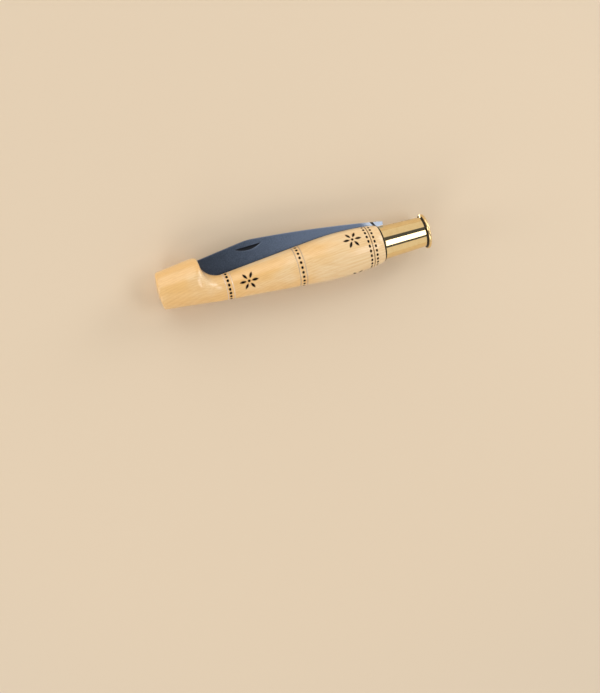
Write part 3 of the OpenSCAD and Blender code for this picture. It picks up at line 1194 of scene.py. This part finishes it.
    def skin(
        self, along: np.ndarray, turned: np.ndarray, angle: np.ndarray
    ) -> tuple[np.ndarray, np.ndarray]:
        """Place on the turned skin, before it is carved, seen from a middle between the two axes.

        Formula: from the middle, a ray at the given angle meets the clog's circle and the spindle's
        circle. The skin is the soft minimum of the two distances, softest at the sides and almost
        sharp underneath, and where the crest is sanded it goes over to the sanded skin.

        Args:
            along: Distance from the butt.
            turned: Spindle radius.
            angle: Direction of the ray round the middle.

        Returns:
            The middle's distance from the ferrule's axis and the ray's length.
        """
        middle = self.offset * (1 - smoothstep(self.middle_moves_from, self.waist_at, along))
        ahead = self.offset - middle
        clog = half_chord(self.clog_radius(along), ahead * np.sin(angle)) + ahead * np.cos(angle)
        spindle = half_chord(turned, middle * np.sin(angle)) - middle * np.cos(angle)
        share = (1 + np.cos(angle)) / 2
        blend = self.underside_blend + (self.crest_blend - self.underside_blend) * share
        ray = soft_minimum(clog, spindle, blend + self.side_blend * np.sin(angle) ** 2)
        aside = np.degrees(np.abs(angle))
        sanded = smoothstep(*self.sanded_past, aside) * (1 - smoothstep(*self.sanded_up_to, aside))
        sanded = sanded * smoothstep(*self.sanded_from, along)
        sanded = sanded * (1 - smoothstep(self.sanded_to, self.waist_at, along))
        return middle, ray + sanded * (self._over_crest(along, angle, middle, clog) - ray)

    def _over_crest(
        self, along: np.ndarray, angle: np.ndarray, middle: np.ndarray, clog: np.ndarray
    ) -> np.ndarray:
        """Length of a ray to the skin where the crest is sanded soft.

        Formula: the skin lies where the soft minimum of two depths is nothing. One is the depth
        inside the clog along the ray, the other the depth outside the scoop's ring. Halving a span
        again and again closes in on that place.

        Args:
            along: Distance from the butt.
            angle: Direction of the ray round the middle.
            middle: The middle's distance from the ferrule's axis.
            clog: Length of the ray to the clog's surface.

        Returns:
            The ray's length.
        """
        softer = smoothstep(*self.softer_over, np.degrees(np.abs(angle)))
        sanding = self.crest_sanding + (self.side_sanding - self.crest_sanding) * softer
        low, high = np.zeros_like(clog), clog
        for _ in range(HALVINGS):
            ray = (low + high) / 2
            away = np.hypot(middle + ray * np.cos(angle), ray * np.sin(angle))
            out = np.clip(self.scoop_centre[1] - away, 0, None)
            ring = np.hypot(along - self.scoop_centre[0], out) - self.scoop_radius
            inside = soft_minimum(clog - ray, ring, sanding) > 0
            low, high = np.where(inside, ray, low), np.where(inside, high, ray)
        return low

    def skin_at_height(
        self, along: np.ndarray, turned: np.ndarray, height: np.ndarray
    ) -> tuple[np.ndarray, np.ndarray]:
        """Angle and across-distance of the skin beside the slot at a given height.

        Formula: the angle's sine is the height over the ray's length, found by repeating that step.

        Args:
            along: Distance from the butt.
            turned: Spindle radius.
            height: Height above the axis, of either sign.

        Returns:
            The angle, and the distance from the axis towards the slot.
        """
        angle = np.zeros(np.broadcast(along, height).shape)
        for _ in range(REPEATS):
            _, ray = self.skin(along, turned, angle)
            angle = np.arcsin(np.clip(height / ray, -MOST_SINE, MOST_SINE))
        middle, ray = self.skin(along, turned, angle)
        return angle, middle + ray * np.cos(angle)

    def carved(self, along: np.ndarray, angle: np.ndarray, radius: np.ndarray) -> np.ndarray:
        """Depth of all ornament at a place. Formula: the deepest of the ornaments there."""
        depths = [ornament.carve(along, angle, radius) for ornament in self.ornaments]
        return np.max(np.broadcast_arrays(*depths), axis=0)

    def sections(self) -> tuple[np.ndarray, np.ndarray]:
        """Closed outlines of the handle at each station.

        Formula: the skin round the handle from one lip of the slot to the other, a curve over the
        lip, down the wall, over the floor and up again. Where there is no slot, these last points
        lie on the skin at even heights instead. Near the butt a point moves along the handle in
        proportion to its height, because the end isn't cut quite square.

        Returns:
            Points in metres by station and column, and a value from 0 on the skin to 1 in the slot.
        """
        along, turned = (value[:, None] for value in self.stations())
        slot, wall = self.slot, self.slot.half_width
        floor = slot.floor_height(along)
        _, brink = self.skin_at_height(along, turned, np.full_like(along, wall))
        depth = np.clip(brink - floor, 0, None)
        lip = np.where(along < self.wood_length, slot.lip, slot.neck_lip)
        lip = np.minimum(lip, depth / 2 + slot.least_depth)
        start, edge = self.skin_at_height(along, turned, wall + lip)
        angle = start + (TURN - 2 * start) * np.linspace(0, 1, self.skin_columns)
        angle = np.where(angle > math.pi, angle - TURN, angle)
        middle, ray = self.skin(along, turned, angle)
        ornate = along > self.waist_at - self.plain_waist
        ray = ray - self.carved(along, angle, ray) * ornate
        share = np.linspace(0, 1, self.lip_points + 1)[1:]
        first, second, third = (1 - share) ** 2, 2 * share * (1 - share), share**2
        over_y = first * edge + second * brink + third * (brink - lip)
        over_z = first * (wall + lip) + (second + third) * wall
        wall_y = (brink - lip) + (np.minimum(floor, brink - lip) - (brink - lip)) * share
        floor_z = np.linspace(-wall, wall, self.floor_points + 2)[1:-1]
        floor_y = wall_y[:, -1:] + 0 * floor_z
        cut_y = [over_y, wall_y, floor_y, wall_y[:, ::-1], over_y[:, ::-1]]
        cut_y = np.concatenate(cut_y, axis=1)
        full = np.full_like(wall_y, wall)
        cut_z = np.concatenate([-over_z, -full, floor_z + 0 * along, full, over_z[:, ::-1]], axis=1)
        evenly = np.linspace(-1, 1, cut_z.shape[1] + 2)[1:-1]
        even_z = (edge - middle) * np.tan(start) * evenly
        _, even_y = self.skin_at_height(along, turned, even_z)
        sawn = depth > slot.least_depth
        across = [middle + ray * np.cos(angle), np.where(sawn, cut_y, even_y)]
        height = [ray * np.sin(angle), np.where(sawn, cut_z, even_z)]
        height = np.concatenate(height, axis=1)
        lean = math.tan(math.radians(self.butt_lean)) * height - self.lean_shift
        along = along - lean * (1 - smoothstep(*self.lean_fades, along))
        points = self.axis.points(along, np.concatenate(across, axis=1), height)
        inside = np.zeros(points.shape[:2])
        inside[:, self.skin_columns + len(share) : -len(share)] = 1
        return points, inside * sawn

    def make(self, groups: EffectGroups) -> bpy.types.Object:
        """Builds and dresses the handle.

        Args:
            groups: Shared effect groups.

        Returns:
            The finished piece.
        """
        points, inside = self.sections()
        piece = tube_piece("boxwood_handle", points, reverse=False)
        sawn = piece.data.attributes.new("sawn", "FLOAT", "POINT")
        sawn.data.foreach_set("value", inside.ravel().astype(np.float32))
        places = np.array([ornament.at for ornament in self.ornaments])
        radii = dict(zip(self.ornaments, self.spindle_radius(places).tolist()))
        piece.data.materials.append(self.finish.build(groups, radii))
        return finished(piece, Body.HANDLE, "handle")


@dataclass
class Blade:
    """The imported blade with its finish, which follows the blade's own outline."""

    finish: BladeFinish
    pivot_at: float = 109.4
    pivot_offset: float = 1.0
    closed_tilt: float = math.radians(6.0)
    back_height: float = 8.6
    back_top: float = 52.0
    back_curve: float = 560.0
    drop_at: float = 71.4
    drop_height: float = 7.73
    drop_slope: float = math.tan(math.radians(13.4))
    heel_at: float = 12.6
    heel_depth: float = 5.0
    edge_slope: float = math.tan(math.radians(1.86))
    curve_at: float = 62.0
    edge_curve: float = 82.8
    thickness: float = 2.1
    grind_height: float = 14.3
    step_at: float = 8.7
    step_slant: float = 0.69

    def coordinates(self, point: Signal) -> tuple[Signal, Signal]:
        """Distance of a point from the pivot along the blade, and its height towards the back.

        Formula: the point less the pivot, turned by the closed blade's tilt, as two dot products.

        Args:
            point: The point on the closed knife, in millimetres.

        Returns:
            The distance and the height.
        """
        cosine, sine = math.cos(self.closed_tilt), math.sin(self.closed_tilt)
        from_pivot = point.vector("SUBTRACT", (self.pivot_at, self.pivot_offset, 0.0))
        out = from_pivot.vector("DOT_PRODUCT", (-cosine, sine, 0.0))
        return out, from_pivot.vector("DOT_PRODUCT", (sine, cosine, 0.0))

    def below_back(self, out: Signal, up: Signal) -> Signal:
        """Distance below the back. Formula: under the lower of its long curve and its straight drop.

        Args:
            out: Distance from the pivot along the blade.
            up: Height towards the back.

        Returns:
            The distance.
        """
        past = out - self.back_top
        curve = self.back_height - past * past * (0.5 / self.back_curve)
        return np.minimum(curve, self.drop_height - (out - self.drop_at) * self.drop_slope) - up

    def above_edge(self, out: Signal, up: Signal) -> Signal:
        """Height above the edge. Formula: over its straight line, which curls up past its bend.

        Args:
            out: Distance from the pivot along the blade.
            up: Height towards the back.

        Returns:
            The height.
        """
        past = np.maximum(out - self.curve_at, 0.0)
        line = -self.heel_depth - (out - self.heel_at) * self.edge_slope
        return up - (line + past * past * (0.5 / self.edge_curve))

    def sunk(self, point: Signal, above: Signal) -> Signal:
        """Depth below the blade's flat face, as in the nail nick.

        Formula: the face's half thickness grows with the height above the edge up to the full one,
        and the depth is what the point's own distance from the middle lacks.

        Args:
            point: The point on the closed knife, in millimetres.
            above: Height above the cutting edge.

        Returns:
            The depth, which is 0 on the face itself.
        """
        half = self.thickness / 2
        return np.minimum(above * (half / self.grind_height), half) - abs(point.parts()[2])

    def make(self, node: bpy.types.Object, groups: EffectGroups) -> bpy.types.Object:
        """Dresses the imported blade.

        Args:
            node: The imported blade's object.
            groups: Shared effect groups.

        Returns:
            The same object.
        """
        node.data.materials.clear()
        node.data.materials.append(self.finish.build(groups, self))
        return node


@dataclass
class Ferrule:
    """Slit brass ring that turns on the neck, with a turned-in rear lip and a rolled bead."""

    axis: FerruleAxis
    finish: BrassFinish
    start: float = 97.8
    length: float = 20.7
    bore: float = 6.5
    taper: float = 2.0
    wall: float = 0.7
    lip_depth: float = 0.55
    bead_radius: float = 0.58
    bead_rise: float = 1.15
    groove_radius: float = 0.42
    groove_depth: float = 0.28
    slit_width: float = 3.0
    rear_rounding: float = 0.12
    hollow_arc: Span = (222.0, 318.0)
    bead_arc: Span = (190.0, 0.0)
    run_inset: float = 0.5
    tube_rows: int = 12
    bore_rows: int = 10
    edge_chords: int = 8
    bead_chords: int = 20
    columns: int = 200
    edge_rounding: float = 0.1
    edge_segments: int = 3
    edge_angle: float = math.radians(60)
    # Edges of the painted shade in the hollow behind the bead and at the rear edge.
    grime_rises: Span = (-0.75, -0.55)
    grime_falls: Span = (0.45, 0.2)
    grime_top: Span = (0.85, 0.45)
    grime_foot: Span = (-0.6, -0.4)
    rear_grime: Span = (0.26, 0.1)

    def outer(self, along: Values) -> Values:
        """Outside radius. Formula: bore and wall, less the taper's slope along the tube."""
        slope = math.tan(math.radians(self.taper))
        return self.bore + self.wall - (along - self.start) * slope

    def profile(self) -> np.ndarray:
        """Outline of the wall as distance and radius, over the outside and back inside.

        Formula: tapered runs joined by arcs: the rolled rear edge, the hollow behind the bead, the
        bead itself and the turned-in front edge.

        Returns:
            The points of the closed outline.
        """
        end, back = self.start + self.length, self.rear_rounding
        bead_at = end - self.bead_radius
        hollow_at = bead_at - self.bead_radius - self.groove_radius
        tube_from = self.start + back + self.run_inset
        tube = np.linspace(tube_from, hollow_at - self.groove_radius, self.tube_rows)
        bore_from = end - self.wall - self.run_inset
        bore = np.linspace(bore_from, self.start + self.wall, self.bore_rows)
        rear = (self.start + back, self.outer(self.start + back) - back)
        hollow = (hollow_at, self.outer(hollow_at) + self.groove_radius - self.groove_depth)
        bead = (bead_at, self.outer(end) + self.bead_rise - self.bead_radius)
        lip = self.bore - self.lip_depth
        runs = [
            [(self.start, lip)],
            arc(rear, back, 180, 90 - self.taper, self.edge_chords),
            np.stack([tube, self.outer(tube)], axis=1),
            arc(hollow, self.groove_radius, *self.hollow_arc, self.edge_chords),
            arc(bead, self.bead_radius, *self.bead_arc, self.bead_chords),
            arc((end - self.wall, self.outer(end)), self.wall, 0, -90, self.edge_chords),
            np.stack([bore, self.outer(bore) - self.wall], axis=1),
            [(self.start + self.wall, lip)],
        ]
        return np.concatenate(runs)

    def grime(self, along: Signal, above: Signal) -> Signal:
        """Where painted shade darkens the brass: low in the hollow behind the bead, and at the rear
        edge by the joint.

        Args:
            along: Distance from the butt.
            above: Height above the tube's outside.

        Returns:
            A mask from 0 to 1.
        """
        past_back = along - (self.start + self.length - 2 * self.bead_radius)
        hollow = past_back.rise(*self.grime_rises) * past_back.rise(*self.grime_falls)
        low = above.rise(*self.grime_top) * above.rise(*self.grime_foot)
        return np.maximum(hollow * low, (along - self.start).rise(*self.rear_grime))

    def surface(self) -> np.ndarray:
        """Points of the wall by column round the axis and row along the outline.

        Formula: each point of the outline goes round the axis from one side of the slit to the
        other. Its first angle is that whose sine is half the slit's width over its radius, so the
        slit's sides are flat and parallel.

        Returns:
            Points in metres.
        """
        along, radius = self.profile().T
        first = np.arcsin(self.slit_width / 2 / radius)
        angle = first + (TURN - 2 * first) * np.linspace(0, 1, self.columns)[:, None]
        return self.axis.points(along[None, :], radius * np.cos(angle), radius * np.sin(angle))

    def make(self, groups: EffectGroups) -> bpy.types.Object:
        """Builds and dresses the ferrule.

        Args:
            groups: Shared effect groups.

        Returns:
            The finished piece.
        """
        piece = tube_piece("brass_ferrule", self.surface(), reverse=True)
        bevel = piece.modifiers.new("slit edges", "BEVEL")
        bevel.width, bevel.segments = self.edge_rounding * METRES, self.edge_segments
        bevel.limit_method, bevel.angle_limit = "ANGLE", self.edge_angle
        bevel.harden_normals = False
        piece.data.materials.append(self.finish.build(groups, self))
        return finished(piece, Body.FERRULE, "ferrule")


@dataclass
class PivotPin:
    """Steel pin through the neck, filed flush so that the ferrule turns over its ends."""

    axis: FerruleAxis
    finish: PinFinish
    at: float = 109.4
    offset: float = 1.0
    radius: float = 1.25
    end_curve: float = 6.065
    end_taper: float = 2.0
    ring_shares: tuple[float, ...] = (0.03, 0.4, 0.75, 0.93, 0.985, 1.0)
    ring_drops: tuple[float, ...] = (0.0, 0.0, 0.0, 0.01, 0.03, 0.08)
    columns: int = 48

    def surface(self) -> np.ndarray:
        """Points of the pin by row, from one end's middle over the side to the other end's middle.

        Formula: rings of growing radius on a cone that is the neck's surface, then the same on the
        far side, with the corner rings drawn in a little.

        Returns:
            Points in metres.
        """
        angle = np.linspace(0, TURN, self.columns, endpoint=False)
        ring = self.radius * np.array(self.ring_shares)[:, None]
        ahead, across = ring * np.cos(angle), self.offset + ring * np.sin(angle)
        slope = math.tan(math.radians(self.end_taper))
        height = half_chord(self.end_curve - ahead * slope, across)
        height = height - np.array(self.ring_drops)[:, None]
        top = self.axis.points(self.at + ahead, across, height)
        bottom = self.axis.points(self.at + ahead, across, -height)
        return np.concatenate([top, bottom[::-1]])

    def make(self, groups: EffectGroups) -> bpy.types.Object:
        """Builds and dresses the pin.

        Args:
            groups: Shared effect groups.

        Returns:
            The finished piece.
        """
        piece = tube_piece("steel_pivot_pin", self.surface(), reverse=True)
        piece.data.materials.append(self.finish.build(groups))
        return finished(piece, Body.HANDLE, "pivot_pin")


def weld(piece: bpy.types.Object) -> None:
    """Merges points that fall together, which clears the faces of no area.

    Args:
        piece: The object to clean.
    """
    surface = bmesh.new()
    surface.from_mesh(piece.data)
    bmesh.ops.remove_doubles(surface, verts=surface.verts, dist=SAME_PLACE)
    surface.to_mesh(piece.data)
    surface.free()


def finished(piece: bpy.types.Object, body: Body, node: str) -> bpy.types.Object:
    """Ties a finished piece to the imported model.

    Args:
        piece: The piece.
        body: Body that it moves with.
        node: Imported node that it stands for.

    Returns:
        The same piece.
    """
    weld(piece)
    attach(piece, body.value)
    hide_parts(node)
    return piece


@dataclass(frozen=True)
class Lamp:
    """A soft oblong light that the camera doesn't see. It faces the knife, or straight down."""

    name: str
    place: Place
    width: float
    depth: float
    watts: float
    colour: Colour = (1.0, 1.0, 1.0)
    level: bool = False

    def make(self) -> None:
        """Adds the light, with its width along the knife and its depth across it."""
        light = bpy.data.lights.new(self.name, "AREA")
        light.shape, light.energy, light.color = "RECTANGLE", self.watts, self.colour
        light.size, light.size_y = self.width, self.depth
        lamp = bpy.data.objects.new(self.name, light)
        lamp.location = self.place
        back = Vector((0.0, 0.0, 1.0) if self.level else self.place)
        lamp.rotation_euler = back.to_track_quat("Z", "Y").to_euler()
        lamp.visible_camera = False
        bpy.context.scene.collection.objects.link(lamp)


@dataclass(frozen=True)
class Studio:
    """Plain pale floor, soft light and the camera at the photograph's viewing angle."""

    floor_colour: Colour = (0.73, 0.605, 0.455)
    floor_roughness: float = 0.9
    floor_side: float = 6.0
    floor_fades: Span = (0.14, 0.3)
    eye: Place = (-0.10519, 0.02477, 0.54985)
    back: Place = (-0.17794, 0.11070, 0.97779)
    up: Place = (0.27454, 0.95978, -0.05870)
    sensor: float = 36.0
    lens: float = 78.0
    nearest: float = 0.01
    ceiling: Colour = (0.09, 0.10, 0.12)
    walls: Colour = (0.83, 0.755, 0.655)
    left_wall: Colour = (0.45, 0.42, 0.38)
    wall_change: Span = (-0.55, 0.15)
    ceiling_middle: Place = (0.259, -0.05, 0.965)
    ceiling_edge: Span = (0.793, 0.817)
    lamps: tuple[Lamp, ...] = (
        Lamp("window", (-0.33, 0.78, 0.62), 0.9, 1.2, 3.9, (1.0, 0.99, 0.97)),
        Lamp("side light", (-0.55, -0.6, 0.5), 0.5, 0.5, 2.3, (1.0, 0.98, 0.95)),
        Lamp("overhead panel", (0.49, -0.13, 0.8), 0.42, 0.5, 2.2, level=True),
        Lamp("left card", (-0.9, 0.15, 0.35), 0.3, 0.4, 1.8),
        Lamp("right card", (0.88, 0.34, 0.42), 0.5, 0.5, 2.6),
    )

    def make(self) -> None:
        """Builds the floor, the world, the lamps and the camera."""
        self._floor()
        self._world()
        for lamp in self.lamps:
            lamp.make()
        self._camera()
        bpy.context.scene.view_settings.view_transform = "Standard"

    def _floor(self) -> None:
        """Lays a level square under the knife.

        Far from the knife it fades into an even backdrop of its own colour, which only the camera
        and mirror-like reflections see.
        """
        half = self.floor_side / 2
        corners = [(-half, -half, 0), (half, -half, 0), (half, half, 0), (-half, half, 0)]
        mesh = bpy.data.meshes.new("floor")
        mesh.from_pydata(corners, [], [(0, 1, 2, 3)])
        floor = bpy.data.objects.new("floor", mesh)
        bpy.context.scene.collection.objects.link(floor)
        material = bpy.data.materials.new("pale floor")
        material.use_nodes = True
        wiring = Wiring(material.node_tree)
        principled = material.node_tree.nodes["Principled BSDF"]
        wiring.feed(principled.inputs["Base Color"], self.floor_colour)
        wiring.feed(principled.inputs["Roughness"], self.floor_roughness)
        out = wiring.signal("ShaderNodeTexCoord", output="Object").vector("LENGTH")
        rays = wiring.signals("ShaderNodeLightPath")
        seen = np.maximum(rays["Is Camera Ray"], rays["Is Glossy Ray"])
        backdrop = wiring.signal("ShaderNodeEmission", {"Color": self.floor_colour})
        lit = Signal(wiring, principled.outputs[0])
        shaders = {0: out.rise(*self.floor_fades) * seen, 1: lit, 2: backdrop}
        mixed = wiring.signal("ShaderNodeMixShader", shaders)
        wiring.feed(material.node_tree.nodes["Material Output"].inputs["Surface"], mixed)
        floor.data.materials.append(material)

    def _world(self) -> None:
        """Lights from pale walls round a dark ceiling patch, and shows the camera a plain colour."""
        world = bpy.data.worlds.new("studio")
        world.use_nodes = True
        bpy.context.scene.world = world
        wiring = Wiring(world.node_tree)
        direction = wiring.signal("ShaderNodeTexCoord", output="Generated")
        walls = direction.parts()[0].rise(*self.wall_change).blend(self.left_wall, self.walls)
        overhead = direction.vector("DOT_PRODUCT", self.ceiling_middle)
        room = overhead.rise(*self.ceiling_edge).blend(walls, self.ceiling)
        seen = wiring.signal("ShaderNodeLightPath", output="Is Camera Ray")
        background = world.node_tree.nodes["Background"]
        wiring.feed(background.inputs["Color"], seen.blend(room, self.floor_colour))

    def _camera(self) -> None:
        """Adds the camera at the photograph's angle.

        Formula: right is up crossed with back, each square to both.
        """
        camera = bpy.data.cameras.new("camera")
        camera.sensor_fit, camera.sensor_width, camera.lens = "HORIZONTAL", self.sensor, self.lens
        camera.clip_start = self.nearest
        holder = bpy.data.objects.new("camera", camera)
        back = Vector(self.back).normalized()
        right = Vector(self.up).cross(back).normalized()
        turn = Matrix([right, back.cross(right), back]).transposed().to_4x4()
        holder.matrix_world = Matrix.Translation(self.eye) @ turn
        bpy.context.scene.collection.objects.link(holder)
        bpy.context.scene.camera = holder


def main() -> None:
    """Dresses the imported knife, piece by piece, and sets up the studio."""
    logging.basicConfig(level=logging.INFO, format="%(name)s: %(message)s")
    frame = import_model()
    axis = FerruleAxis.from_frame()
    groups = EffectGroups.build(axis)
    pieces = [
        BoxwoodHandle(axis, BoxwoodFinish()).make(groups),
        Blade(BladeFinish()).make(frame["nodes"]["blade"], groups),
        Ferrule(axis, BrassFinish()).make(groups),
        PivotPin(axis, PinFinish()).make(groups),
    ]
    for piece in pieces:
        log.info("%s: %d faces", piece.name, len(piece.data.polygons))
    Studio().make()


if __name__ == "__main__":
    main()
